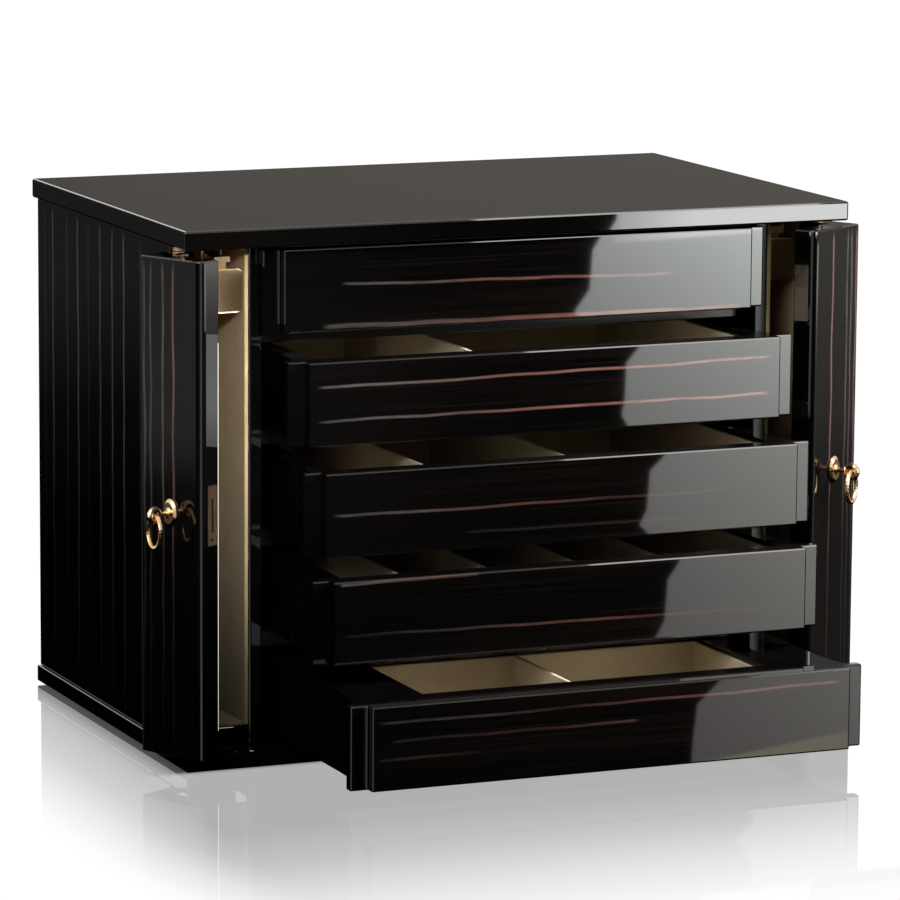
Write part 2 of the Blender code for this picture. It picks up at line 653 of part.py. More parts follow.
def make_hanger(side, pulled_out):
    """A hook rail on its slider, with the polished end plate that it is pulled by."""
    name = side_name(side)
    slide = make_joint_point(name + "_hanger_slide", (side * COMPARTMENT_MIDDLE, -pulled_out, 0.0))
    track_bottom, bar_top, bar_bottom = hanger_levels()
    neck = TRACK_SLOT / 2 - SEAM
    head = TRACK_WIDTH / 2 - TRACK_WALL - SEAM
    seat = track_bottom + TRACK_WALL + SEAM
    half = [(head, seat + SLIDER_HEIGHT), (head, seat), (neck, seat), (neck, bar_top), (BAR_WIDTH / 2, bar_top),
            (BAR_WIDTH / 2, bar_bottom)]
    outline = half + mirrored(reversed(half), -1)
    start = FRONT + PLATE_SETBACK + PLATE_THICKNESS + SEAM
    rail_name = name + "_hook_rail"
    rail = place(rail_name, prism_mesh(rail_name, outline, start, start + BAR_LENGTH, "Y"), GOLD, slide)
    pitch = (BAR_LENGTH - HOOK_RADIUS) / HOOK_COUNT
    for n in range(HOOK_COUNT):
        hook_name = f"{rail_name}_hook_{n + 1}"
        middle = start + HOOK_RADIUS + n * pitch
        hook = prism_mesh(hook_name, hook_outline(bar_bottom), middle - HOOK_THICKNESS / 2, middle + HOOK_THICKNESS / 2, "Y")
        combine(rail, place(hook_name, hook, None, slide, True), "UNION")
    plate_name = name + "_end_plate"
    high = bar_top + PLATE_RISE
    low = high - PLATE_HEIGHT
    corner = PLATE_CORNER
    wide = PLATE_WIDTH / 2
    outline = arc((wide - corner, high - corner), corner, 90, 0, 4) + arc((wide - corner, low + corner), corner, 0, -90, 4)
    outline += arc((-wide + corner, low + corner), corner, -90, -180, 4) + arc((-wide + corner, high - corner), corner, 180, 90, 4)
    front = FRONT + PLATE_SETBACK
    plate = prism_mesh(plate_name, outline, front, front + PLATE_THICKNESS, "Y")
    add_bevel(place(plate_name, plate, GOLD, slide), PLATE_ARRIS)


def build():
    """The whole chest."""
    make_base_and_top()
    make_carcass()
    for number in range(1, DRAWER_COUNT + 1):
        make_shelf(number)
        make_drawer(number)
    for side, open_degrees, pulled_out in ((-1, LEFT_DOOR_OPEN_DEGREES, LEFT_HANGER_OUT),
                                           (1, RIGHT_DOOR_OPEN_DEGREES, RIGHT_HANGER_OUT)):
        make_compartment(side)
        make_door(side, open_degrees)
        make_track(side)
        make_hanger(side, pulled_out)


for old in list(bpy.data.objects):
    bpy.data.objects.remove(old)
PARTS = make_collection("jewelry_chest")
CUTTERS = make_collection("cutters")
GUIDES = make_collection("joint_points")
EBONY = make_material("striped_ebony_lacquer", (0.022, 0.016, 0.014), 0.08, coat=1.0)
LACQUER = make_material("black_lacquer", (0.010, 0.010, 0.011), 0.10, coat=1.0)
SUEDE = make_material("beige_suede", (0.55, 0.47, 0.36), 0.9)
FELT = make_material("black_felt", (0.02, 0.02, 0.02), 1.0)
BRASS = make_material("polished_brass", (0.86, 0.63, 0.33), 0.18, metallic=1.0)
GOLD = make_material("gold_plate", (0.90, 0.70, 0.40), 0.15, metallic=1.0)
build()
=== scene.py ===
"""Materials, soft pieces, studio light and camera for the jewellery chest."""
import json
import math

import bmesh
import bpy
from mathutils import Matrix, Vector
from mathutils.noise import noise_vector, seed_set


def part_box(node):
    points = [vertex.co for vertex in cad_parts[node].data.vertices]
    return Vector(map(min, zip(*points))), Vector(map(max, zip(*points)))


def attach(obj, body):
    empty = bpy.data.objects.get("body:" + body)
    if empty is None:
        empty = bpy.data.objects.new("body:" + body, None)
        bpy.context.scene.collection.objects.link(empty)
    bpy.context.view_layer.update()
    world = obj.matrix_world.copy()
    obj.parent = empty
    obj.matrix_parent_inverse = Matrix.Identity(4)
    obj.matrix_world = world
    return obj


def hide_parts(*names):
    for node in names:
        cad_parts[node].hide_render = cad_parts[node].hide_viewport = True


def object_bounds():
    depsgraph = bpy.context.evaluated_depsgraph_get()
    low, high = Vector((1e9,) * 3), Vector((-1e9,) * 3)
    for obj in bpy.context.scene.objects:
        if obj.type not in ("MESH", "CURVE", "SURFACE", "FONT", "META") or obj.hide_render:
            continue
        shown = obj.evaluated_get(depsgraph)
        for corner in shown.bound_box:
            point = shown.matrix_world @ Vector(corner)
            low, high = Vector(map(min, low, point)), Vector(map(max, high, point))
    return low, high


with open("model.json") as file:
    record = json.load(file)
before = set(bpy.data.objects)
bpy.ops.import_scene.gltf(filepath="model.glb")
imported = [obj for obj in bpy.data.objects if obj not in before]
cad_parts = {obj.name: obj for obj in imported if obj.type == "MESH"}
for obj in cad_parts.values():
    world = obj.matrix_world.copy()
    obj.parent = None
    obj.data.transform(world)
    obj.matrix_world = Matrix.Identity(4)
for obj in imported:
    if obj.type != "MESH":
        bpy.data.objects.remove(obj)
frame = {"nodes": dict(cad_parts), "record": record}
cad_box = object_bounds()
NODES = frame["nodes"]
RECORD = frame["record"]

RIGHTWARDS = (1.0, 0.0, 0.0)
BACKWARDS = (0.0, 1.0, 0.0)
UPWARDS = (0.0, 0.0, 1.0)
SIDES = ("left", "right")

# Camera of the photograph, in metres and degrees
CAMERA_PLACE = (-1.1577, -2.7589, 0.6598)
CAMERA_YAW = 22.95
CAMERA_PITCH = 9.70
CAMERA_ROLL = 0.39
CAMERA_LENS = 209.65
SENSOR = 36.0

# Colours, linear
WHITE = (1.0, 1.0, 1.0)
NO_LIGHT = (0.0, 0.0, 0.0)
BLACK = (0.0021, 0.0019, 0.0018)
BLACK_DUST = (0.0035, 0.0031, 0.0029)
EBONY_STREAK = (0.0190, 0.0122, 0.0096)
WARM_VEIN = (0.300, 0.134, 0.108)
DULL_VEIN = (0.250, 0.235, 0.220)
ROSE_VEIN = (0.150, 0.085, 0.078)
GREY_VEIN = (0.105, 0.092, 0.088)
PALE_VEIN = (0.190, 0.172, 0.168)
SUEDE_LIGHT = (0.66, 0.57, 0.42)
SUEDE_DARK = (0.50, 0.42, 0.30)
LINING_LIGHT = (0.66, 0.50, 0.27)
LINING_DARK = (0.54, 0.40, 0.20)
BRASS = (0.86, 0.58, 0.33)
GOLD = (0.93, 0.66, 0.36)
FELT_DARK = (0.006, 0.006, 0.006)
FELT_LIGHT = (0.03, 0.03, 0.03)

# Lacquer and the waviness of its surface
LACQUER_IOR = 1.52
PLAIN_IOR = 1.5
EBONY_ROUGHNESS = 0.03
BLACK_ROUGHNESS = 0.045
BLACK_LEVEL = 0.5
INNER_ROUGHNESS = 0.22
INNER_LEVEL = 0.2
INNER_BOARDS = ("shelf_1", "shelf_2", "shelf_3", "shelf_4", "shelf_5", "right_partition")
DUST_SCALE = 60.0
DUST_DETAIL = 4.0
DUST_RANGE = (0.4, 0.8)
WAVE_SCALE = 28.0
WAVE_DETAIL = 1.0
WAVE_DEPTH = 0.00001

# Grain of the ebony, coarse to fine: scales along and across, seed, range and share
GRAIN_SHARES = (
    ((2.0, 55.0), 1.3, (0.42, 0.72), 0.35),
    ((6.0, 900.0), 4.1, (0.50, 0.78), 0.55),
    ((90.0, 2600.0), 9.5, (0.60, 0.75), 0.12),
)
GRAIN_DETAIL = 3.0
GRAIN_ROUGHNESS = 0.55
STREAK_HALF = 0.15

# How strongly the brown streaks show, from left to right on a front, and on plain boards
FRONT_STREAK_SHARES = (0.10, 0.35, 0.80, 1.00, 0.50)
PLAIN_STREAK_SHARES = (0.18, 0.18)

# Veins of the ebony: widths, how they wander, how they end and where they thin out
THIN_VEIN = 0.0014
WIDE_VEIN = 0.0023
VEIN_SEED = 0.7
VEIN_SEED_STEP = 2.3
VEIN_EDGE_SHARES = (0.75, 0.25)
VEIN_END_SHARE = 0.03
WANDER = 0.0032
WANDER_SCALES = (17.0, 1.0)
WANDER_DETAIL = 1.0
THINNING_SCALES = (45.0, 300.0)
THINNING_SEED = 3.7
THINNING_DETAIL = 2.0
THINNING_RANGE = (0.25, 0.6)
THINNING_SHARE = 0.55

# Veins of each drawer front: start and end as shares of its width, drops as shares of its height,
# width, and how strongly the vein shows from its left end to its right end
FRONT_VEIN_SHARES = {
    1: ((0.141, 0.810, 0.438, 0.512, THIN_VEIN, (0.15, 0.28, 0.55, 0.60, 0.40)),
        (0.103, 0.953, 0.945, 0.965, WIDE_VEIN, (0.12, 0.20, 0.32, 0.42, 0.62, 0.68, 0.55, 0.45))),
    2: ((0.044, 0.952, 0.300, 0.245, THIN_VEIN, (0.22, 0.26, 0.48, 0.55, 0.85, 0.90, 0.85, 1.00)),
        (0.044, 0.952, 0.700, 0.685, THIN_VEIN, (0.08, 0.22, 0.32, 0.55, 0.90, 0.90, 0.85, 1.00))),
    3: ((0.044, 0.828, 0.505, 0.505, THIN_VEIN, (0.14, 0.25, 0.28, 0.14, 0.08)),
        (0.300, 0.930, 0.800, 0.820, THIN_VEIN, (0.04, 0.08, 0.04))),
    4: ((0.044, 0.315, 0.045, 0.010, THIN_VEIN, (0.33, 0.28, 0.20)),
        (0.044, 0.955, 0.645, 0.700, THIN_VEIN, (0.04, 0.08, 0.14, 0.28, 0.30, 0.14, 0.06, 0.05))),
    5: ((0.040, 0.950, 0.202, 0.169, THIN_VEIN, (0.10, 0.22, 0.10, 0.32, 0.52, 0.42)),
        (0.067, 0.548, 0.417, 0.417, THIN_VEIN, (0.05, 0.10, 0.25)),
        (0.045, 0.240, 0.630, 0.620, THIN_VEIN, (0.05, 0.09, 0.04))),
}

# Veins of the sides: place as a share of the depth from the front, and strength
SIDE_VEIN_SHARES = (
    (0.210, 0.25), (0.332, 1.0), (0.418, 0.85), (0.511, 0.8), (0.600, 0.2),
    (0.681, 0.95), (0.765, 0.35), (0.878, 0.75), (0.940, 0.2),
)

# Veins of the doors: place as a share of the leaf from its hinge edge, strength and colour
DOOR_VEIN_SHARES = {
    "left": (
        (0.065, 0.6, GREY_VEIN),
        (0.17, 0.5, GREY_VEIN),
        (0.37, 0.75, GREY_VEIN),
        (0.545, 0.85, ROSE_VEIN),
    ),
    "right": (
        (0.055, 0.6, ROSE_VEIN),
        (0.16, 0.5, GREY_VEIN),
        (0.25, 0.5, GREY_VEIN),
        (0.58, 0.8, ROSE_VEIN),
    ),
}

# How strongly an upright vein shows, from the floor up to its top
UPRIGHT_SHARES = (0.0, 0.12, 0.25, 0.75, 1.0, 1.0)

# The turns of the two door leaves in the photograph, in degrees
LEAF_TURN = {"left": -63.5, "right": 29.3}

# Suede, and the painted shade on the lining: how much of its colour the lining keeps from the floor up to
# the height where the painted shade ends
SUEDE_ROUGHNESS = 0.95
SUEDE_LEVEL = 0.08
SHEEN = 0.15
SHEEN_ROUGHNESS = 0.4
BRUSH_SCALE = 38.0
BRUSH_DETAIL = 5.0
BRUSH_ROUGHNESS = 0.6
BRUSH_RANGE = (0.3, 0.7)
BRUSH_SHARE = 0.6
NAP_SCALE = 2600.0
NAP_DETAIL = 3.0
NAP_SHARE = 0.4
NAP_STRENGTH = 0.5
NAP_DEPTH = 0.0002
EVEN_SHARES = (1.0, 1.0)
LINING_PAINTED_SHADE_SHARES = (0.30, 0.45, 0.70, 0.90, 1.0)
LINING_SHADE_TOP = 0.22

# Metals and their wiping marks
BRASS_ROUGHNESS = 0.20
GOLD_ROUGHNESS = 0.34
SATIN_ROUGHNESS = 0.44
SATIN_KINDS = ("latch_plate", "track", "lower_pivot", "upper_pivot")
MARK_SCALE = 900.0
MARK_DETAIL = 2.0
MARK_COLOUR_RANGE = (0.35, 0.7)
MARK_COLOUR_SHARE = 0.95
MARK_ROUGHNESS_RANGE = (0.3, 0.8)
MARK_ROUGHNESS_SHARES = (0.94, 1.06)

# Felt
FELT_SCALE = 3000.0
FELT_DETAIL = 3.0

# Rounded and slightly uneven edges of the soft pieces
SOFT_SLOTS = ("beige_suede", "black_felt")
SOFT_EDGE = 0.00045
SOFT_SEGMENTS = 3
SOFT_PROFILE = 0.6
UNEVEN = 0.00012
UNEVEN_SCALE = 160.0
UNEVEN_SEED = 1
WELD = 0.000001
FLAT_ANGLE = math.radians(1.0)
SHARP_ANGLE = math.radians(30.0)

# Surroundings: strengths, and the rise of a direction over which they come in
WORLD_WHITE = 1.03
AMBIENT = 0.16
MIRRORED_RISE = (0.0, 0.03)
AMBIENT_RISE = (-0.05, 0.05)

# Floor: its mirror fades with the distance from the chest, faster towards the sides
FLOOR_HALF = 14.0
FLOOR_WHITE = 1.03
FLOOR_ROUGHNESS = 0.03
FLOOR_REACH = 0.30
FLOOR_SIDE_STRETCH = 3.0
FLOOR_MIRROR_SHARES = (0.58, 0.46, 0.24, 0.07, 0.0)
# Painted contact shadow along both sides of the base: the mirror grows clearer towards the base, so the
# floor shows the dark chest there
CONTACT_SHADOW_REACH = 0.026
CONTACT_SHADOW_FADE = 0.012
CONTACT_SHADOW_SHARES = (0.96, 0.66, 0.36, 0.13, 0.0)

# Lamps: name, place, aim, size, power and whether polished surfaces show it
LAMPS = (
    ("key_right", (1.25, -0.66, 1.15), (0.0, -0.15, 0.10), 0.45, 74.0, False),
    ("key_left", (-1.16, -1.16, 1.30), (0.0, 0.0, 0.15), 1.20, 14.0, True),
)
FILL_PLACE = (-0.235, -0.75, 0.50)
FILL_AIM = (-0.165, -0.12, 0.20)
FILL_SIZE = 0.04
FILL_POWER = 26.0
FILL_CONE = math.radians(22.0)
FILL_BLEND = 1.0

# Cards that polished surfaces show: name, facing, place, colour, strength and grading.
# Place facing forwards: left end, right end, depth, foot and top.
# Place facing sideways: place across, front end, rear end, foot and top.
# Grading: direction, start and end of the change along it, and evenly spaced factors.
REAR_CARDS = (
    ("high_backdrop", "forwards", (-0.60, 1.20, 0.60, 0.30, 0.45), (1.0, 0.92, 0.82), 1.0,
     (RIGHTWARDS, -0.20, 0.50, (0.090, 0.145, 0.155, 0.160))),
    ("rear_card", "forwards", (-1.20, 0.30, 1.50, 0.55, 1.30), WHITE, 2.0, None),
    ("rear_low_card", "forwards", (-1.60, 1.60, 1.30, -0.90, 0.20), WHITE, 1.0,
     (UPWARDS, -0.70, 0.10, (0.05, 0.10, 0.25, 0.50))),
    ("side_backdrop", "forwards", (-1.10, -0.30, 1.10, -0.80, 0.20), WHITE, 1.0,
     (UPWARDS, -0.10, 0.10, (0.0, 0.01, 0.05))),
)
NEAR_CARDS = (
    ("high_softbox", "forwards", (0.70, 1.05, -1.50, 0.86, 1.35), (1.0, 0.98, 0.94), 9.0, None),
    ("edge_card", "sideways", (-0.156, -0.165, -0.150, 0.179, 0.241), (0.95, 1.0, 1.0), 1.0,
     (UPWARDS, 0.179, 0.241, (1.2, 2.1, 2.0, 1.9))),
    ("inner_edge_card", "sideways", (-0.156, -0.137, -0.120, 0.02, 0.236), (1.0, 0.95, 0.85), 1.0,
     (UPWARDS, 0.02, 0.236, (5.0, 9.0, 12.0, 13.0))),
    ("front_flag", "forwards", (-0.1640, -0.1555, -0.1375, 0.0, 0.275), NO_LIGHT, 0.0, None),
    ("edge_flag", "sideways", (-0.1555, -0.26, -0.105, 0.0, 0.241), NO_LIGHT, 0.0, None),
    ("inner_edge_flag", "sideways", (-0.1555, -0.138, -0.105, 0.241, 0.275), NO_LIGHT, 0.0, None),
    ("outer_edge_card", "sideways", (0.95, -1.05, -0.80, -0.12, 0.12), WHITE, 1.0,
     (UPWARDS, -0.06, 0.06, (0.3, 0.8, 2.0, 4.0, 6.0))),
    ("arris_card", "forwards", (-0.50, -0.34, -0.80, -0.15, 0.20), WHITE, 0.8, None),
    ("left_card", "sideways", (-1.20, 0.0, 0.60, -0.06, 0.16), (1.0, 0.98, 0.95), 1.0,
     (UPWARDS, -0.04, 0.04, (0.02, 0.05, 0.18, 0.28, 0.29))),
    ("corner_card", "sideways", (-1.20, -0.66, -0.44, 0.05, 0.16), WHITE, 5.0, None),
    ("right_card", "sideways", (0.95, -0.62, -0.30, -0.05, 0.17), (1.0, 0.99, 0.97), 1.0,
     (UPWARDS, 0.05, 0.14, (0.4, 0.5, 1.2, 3.0))),
    ("far_right_card", "sideways", (1.20, -0.60, 0.40, -0.20, 0.16), (1.0, 0.93, 0.83), 1.0,
     (UPWARDS, -0.10, 0.14, (0.08, 0.10, 0.26, 0.34, 0.42))),
)

# The big softbox: outlines across and upwards, the ragged left edge first
SOFTBOX_DEPTH = -0.70
SOFTBOX_STRIP_DEPTH = -0.699
SOFTBOX_EDGE = (
    (0.330, 0.330), (0.318, 0.217), (0.304, 0.196), (0.302, 0.169), (0.291, 0.154), (0.298, 0.146),
    (0.305, 0.141), (0.295, 0.130), (0.294, 0.105), (0.292, 0.095), (0.297, 0.086), (0.302, 0.075),
    (0.291, 0.065), (0.289, 0.039), (0.284, 0.029), (0.294, 0.019), (0.302, 0.009), (0.293, -0.004),
    (0.291, -0.031), (0.285, -0.042), (0.272, -0.053), (0.262, -0.062), (0.259, -0.092), (0.258, -0.150),
)
SOFTBOX_RIGHT = ((0.47, -0.150), (0.47, 0.195), (0.55, 0.205), (0.55, 0.330))
SOFTBOX_TOP = ((0.318, 0.200), (0.550, 0.205), (0.550, 0.330), (0.330, 0.330))
SOFTBOX_LOW = ((0.2595, -0.1006), (0.3706, -0.088), (0.3706, -0.105), (0.2595, -0.105))

# Brightness of the softbox, as an exponent: start, rightwards, upwards and upwards squared
SOFTBOX_GROWTH = {
    "Red": (-0.282, 3.715, 4.278, 2.805),
    "Green": (-0.373, 3.926, 4.623, 2.721),
    "Blue": (-0.359, 3.744, 4.709, 3.132),
}
SOFTBOX_FULL = 0.50

# The brighter end, top strip and low strip of the softbox
SOFTBOX_END = ("softbox_end", "forwards", (0.56, 0.65, -0.70, 0.09, 0.30), (0.95, 1.0, 1.0), 3.0,
               (UPWARDS, 0.09, 0.16, (0.2, 0.8, 1.0)))
SOFTBOX_TOP_COLOUR = (0.97, 1.0, 0.98)
SOFTBOX_TOP_GRADING = (RIGHTWARDS, 0.318, 0.55, (8.0, 14.0, 14.5, 14.8, 15.0))
SOFTBOX_LOW_COLOUR = (1.0, 0.90, 0.72)
SOFTBOX_LOW_STRENGTH = 2.9


def link(tree, source, target):
    """Joins a socket to a socket, or sets a plain value or colour."""
    if isinstance(source, bpy.types.NodeSocket):
        tree.links.new(source, target)
    elif target.type == "RGBA":
        target.default_value = (*source, 1.0)
    else:
        target.default_value = source


def add(tree, kind, inputs=(), output=0, **settings):
    """Adds a node, fills its inputs by name or number and returns one output."""
    made = tree.nodes.new("ShaderNode" + kind)
    for key, value in settings.items():
        setattr(made, key, value)
    for key, value in dict(inputs).items():
        link(tree, value, made.inputs[key])
    return made.outputs[output]


def calc(tree, operation, a, b=0.0):
    """One step of arithmetic."""
    return add(tree, "Math", {0: a, 1: b}, operation=operation)


def step(tree, value, low, high, to_low=0.0, to_high=1.0):
    """A smooth rise from one value to another."""
    spans = {"Value": value, "From Min": low, "From Max": high, "To Min": to_low, "To Max": to_high}
    return add(tree, "MapRange", spans, interpolation_type="SMOOTHSTEP")


def blend(tree, share, a, b):
    """A mix of two colours, which are inputs 6 and 7 of the node."""
    return add(tree, "Mix", {0: share, 6: a, 7: b}, output=2, data_type="RGBA")


def dot(tree, vector, direction):
    """Distance along a direction, in metres."""
    return add(tree, "VectorMath", {0: vector, 1: direction}, output="Value", operation="DOT_PRODUCT")


def object_place(tree):
    """The place of a point on its piece."""
    return add(tree, "TexCoord", output="Object")


def speckle(tree, place, scale, detail, roughness=0.5):
    """Even noise."""
    return add(tree, "TexNoise", {"Vector": place, "Scale": scale, "Detail": detail, "Roughness": roughness})


def streaks(tree, u, v, scales, seed, detail=GRAIN_DETAIL):
    """Noise stretched differently along and across."""
    along = calc(tree, "MULTIPLY", u, scales[0])
    across = calc(tree, "MULTIPLY", v, scales[1])
    point = add(tree, "CombineXYZ", {0: along, 1: across, 2: seed})
    return speckle(tree, point, 1.0, detail, GRAIN_ROUGHNESS)


def ramp(tree, value, low, high, steps):
    """A value that passes through evenly spaced steps between low and high."""
    share = add(tree, "MapRange", {"Value": value, "From Min": low, "From Max": high})
    made = tree.nodes.new("ShaderNodeValToRGB")
    tree.links.new(share, made.inputs[0])
    stops = made.color_ramp.elements
    while len(stops) < len(steps):
        stops.new(1.0)
    for number, grey in enumerate(steps):
        stops[number].position = number / (len(steps) - 1)
        stops[number].color = (grey, grey, grey, 1.0)
    return made.outputs[0]


def bump(tree, shader, height, strength, depth):
    """Raises a surface by a height pattern."""
    raised = add(tree, "Bump", {"Strength": strength, "Distance": depth, "Height": height})
    link(tree, raised, shader.inputs["Normal"])


def show(tree, shader, kind="OutputMaterial"):
    """Makes a shader the result of its tree."""
    out = tree.nodes.new("ShaderNode" + kind)
    tree.links.new(shader, out.inputs[0])


def new_material(name, roughness, metallic=0.0, ior=PLAIN_IOR):
    """A node material, with its tree, shader and place on the piece."""
    made = bpy.data.materials.new(name)
    made.use_nodes = True
    tree = made.node_tree
    shader = tree.nodes["Principled BSDF"]
    shader.inputs["Roughness"].default_value = roughness
    shader.inputs["Metallic"].default_value = metallic
    shader.inputs["IOR"].default_value = ior
    return made, tree, shader, object_place(tree)


def empty_material(name):
    """A node material without a shader, and its tree."""
    made = bpy.data.materials.new(name)
    made.use_nodes = True
    made.node_tree.nodes.clear()
    return made, made.node_tree


def vein(tree, u, v, line, width, strengths, seed):
    """The mask of one thin vein that wanders a little between two points."""
    start, end, v_start, v_end = line
    slope = (v_end - v_start) / (end - start)
    straight = calc(tree, "ADD", calc(tree, "MULTIPLY", u, slope), v_start - slope * start)
    loose = calc(tree, "SUBTRACT", streaks(tree, u, 0.0, WANDER_SCALES, seed, WANDER_DETAIL), 0.5)
    middle = calc(tree, "ADD", straight, calc(tree, "MULTIPLY", loose, WANDER))
    away = calc(tree, "ABSOLUTE", calc(tree, "SUBTRACT", v, middle))
    body = step(tree, away, width * VEIN_EDGE_SHARES[0], width * VEIN_EDGE_SHARES[1])
    fade = (end - start) * VEIN_END_SHARE
    ends = calc(tree, "MULTIPLY", step(tree, u, start, start + fade), step(tree, u, end, end - fade))
    patches = streaks(tree, u, v, THINNING_SCALES, seed + THINNING_SEED, THINNING_DETAIL)
    thinning = step(tree, patches, *THINNING_RANGE, THINNING_SHARE)
    mask = calc(tree, "MULTIPLY", calc(tree, "MULTIPLY", body, ends), thinning)
    return calc(tree, "MULTIPLY", mask, ramp(tree, u, start, end, strengths))


def vein_colour(tree, u, line, tint):
    """The veins of the fronts are dull at their left end and warm from their middle on."""
    if tint != WARM_VEIN:
        return tint
    start, end = line[:2]
    return blend(tree, step(tree, u, start, (start + end) / 2), DULL_VEIN, WARM_VEIN)


def ebony(name, along, across, veins, streak_shares=PLAIN_STREAK_SHARES):
    """Glossy lacquer over dark striped ebony. Each vein is (line, width, strengths, colour)."""
    made, tree, shader, place = new_material(name, EBONY_ROUGHNESS, ior=LACQUER_IOR)
    u = dot(tree, place, along)
    v = dot(tree, place, across)
    grain = 0.0
    for scales, seed, span, share in GRAIN_SHARES:
        layer = step(tree, streaks(tree, u, v, scales, seed), *span)
        grain = calc(tree, "ADD", grain, calc(tree, "MULTIPLY", layer, share))
    grain = calc(tree, "MULTIPLY", grain, ramp(tree, u, -STREAK_HALF, STREAK_HALF, streak_shares))
    colour = blend(tree, grain, BLACK, EBONY_STREAK)
    for number, (line, width, strengths, tint) in enumerate(veins):
        mask = vein(tree, u, v, line, width, strengths, number * VEIN_SEED_STEP + VEIN_SEED)
        colour = blend(tree, mask, colour, vein_colour(tree, u, line, tint))
    link(tree, colour, shader.inputs["Base Color"])
    polish(tree, shader, place)
    return made


def polish(tree, shader, place):
    """The slight waviness of hand-rubbed lacquer."""
    bump(tree, shader, speckle(tree, place, WAVE_SCALE, WAVE_DETAIL), 1.0, WAVE_DEPTH)


def black_lacquer(name, roughness, level):
    """Plain black, with the faintest dust of brown in it."""
    made, tree, shader, place = new_material(name, roughness, ior=LACQUER_IOR)
    shader.inputs["Specular IOR Level"].default_value = level
    dust = step(tree, speckle(tree, place, DUST_SCALE, DUST_DETAIL), *DUST_RANGE)
    link(tree, blend(tree, dust, BLACK, BLACK_DUST), shader.inputs["Base Color"])
    polish(tree, shader, place)
    return made


def suede(name, light, dark, painted_shade_shares=EVEN_SHARES):
    """Soft beige suede: brushed patches, a short nap and a sheen at grazing angles, and, where shares for it
    are given, painted shade that darkens it towards the floor.
    """
    made, tree, shader, place = new_material(name, SUEDE_ROUGHNESS)
    patches = step(tree, speckle(tree, place, BRUSH_SCALE, BRUSH_DETAIL, BRUSH_ROUGHNESS), *BRUSH_RANGE)
    nap = speckle(tree, place, NAP_SCALE, NAP_DETAIL)
    brushed = calc(tree, "MULTIPLY", patches, BRUSH_SHARE)
    share = calc(tree, "ADD", brushed, calc(tree, "MULTIPLY", nap, NAP_SHARE))
    # painted shade: the colour fades towards black near the floor, standing in for the shade low in the
    # compartments
    unshaded_share = ramp(tree, dot(tree, place, UPWARDS), 0.0, LINING_SHADE_TOP, painted_shade_shares)
    colour = blend(tree, unshaded_share, NO_LIGHT, blend(tree, share, dark, light))
    link(tree, colour, shader.inputs["Base Color"])
    shader.inputs["Specular IOR Level"].default_value = SUEDE_LEVEL
    shader.inputs["Sheen Weight"].default_value = SHEEN
    shader.inputs["Sheen Roughness"].default_value = SHEEN_ROUGHNESS
    bump(tree, shader, nap, NAP_STRENGTH, NAP_DEPTH)
    return made


def metal(name, colour, roughness):
    """Metal with fine wiping marks."""
    made, tree, shader, place = new_material(name, roughness, metallic=1.0)
    marks = speckle(tree, place, MARK_SCALE, MARK_DETAIL)
    darker = tuple(part * MARK_COLOUR_SHARE for part in colour)
    wiped = blend(tree, step(tree, marks, *MARK_COLOUR_RANGE), darker, colour)
    link(tree, wiped, shader.inputs["Base Color"])
    smooth, rough = (roughness * share for share in MARK_ROUGHNESS_SHARES)
    link(tree, step(tree, marks, *MARK_ROUGHNESS_RANGE, smooth, rough), shader.inputs["Roughness"])
    return made


def felt():
    """Matt black felt."""
    made, tree, shader, place = new_material("black_felt", 1.0)
    fibres = speckle(tree, place, FELT_SCALE, FELT_DETAIL)
    link(tree, blend(tree, fibres, FELT_DARK, FELT_LIGHT), shader.inputs["Base Color"])
    return made


def dress(name, material):
    """Gives a CAD node its material."""
    node = NODES[name]
    node.data.materials.clear()
    node.data.materials.append(material)


def dress_fronts():
    """Each drawer front has its own veins, running across it."""
    for number, shares in FRONT_VEIN_SHARES.items():
        name = f"drawer_{number}_front"
        low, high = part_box(name)
        wide = high.x - low.x
        tall = high.z - low.z
        veins = []
        for start, end, drop, end_drop, width, strengths in shares:
            ends = (low.x + start * wide, low.x + end * wide)
            heights = (high.z - drop * tall, high.z - end_drop * tall)
            veins.append(((*ends, *heights), width, strengths, WARM_VEIN))
        dress(name, ebony(f"ebony_{name}", RIGHTWARDS, UPWARDS, veins, FRONT_STREAK_SHARES))


def upright(place, tall, strength, tint, width):
    """An upright vein that is strong near the top and fades downwards."""
    strengths = tuple(share * strength for share in UPRIGHT_SHARES)
    return (0.0, tall, place, place), width, strengths, tint


def dress_sides():
    """The two sides have upright veins at the same depths."""
    for side in SIDES:
        low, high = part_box(side + "_side")
        deep = high.y - low.y
        veins = []
        for share, strength in SIDE_VEIN_SHARES:
            veins.append(upright(low.y + share * deep, high.z, strength, PALE_VEIN, WIDE_VEIN))
        dress(side + "_side", ebony(f"ebony_{side}_side", UPWARDS, BACKWARDS, veins))


def dress_doors():
    """The doors have upright veins, measured along the leaf from its hinge edge."""
    for side, sign in (("left", -1.0), ("right", 1.0)):
        turn = math.radians(LEAF_TURN[side])
        leaf = Vector((-sign * math.cos(turn), -sign * math.sin(turn), 0.0))
        vertices = [vertex.co for vertex in NODES[side + "_door"].data.vertices]
        places = [leaf.dot(co) for co in vertices]
        low, high = min(places), max(places)
        tall = max(co.z for co in vertices)
        veins = []
        for share, strength, tint in DOOR_VEIN_SHARES[side]:
            veins.append(upright(low + share * (high - low), tall, strength, tint, THIN_VEIN))
        dress(side + "_door", ebony(f"ebony_{side}_door", UPWARDS, tuple(leaf), veins))


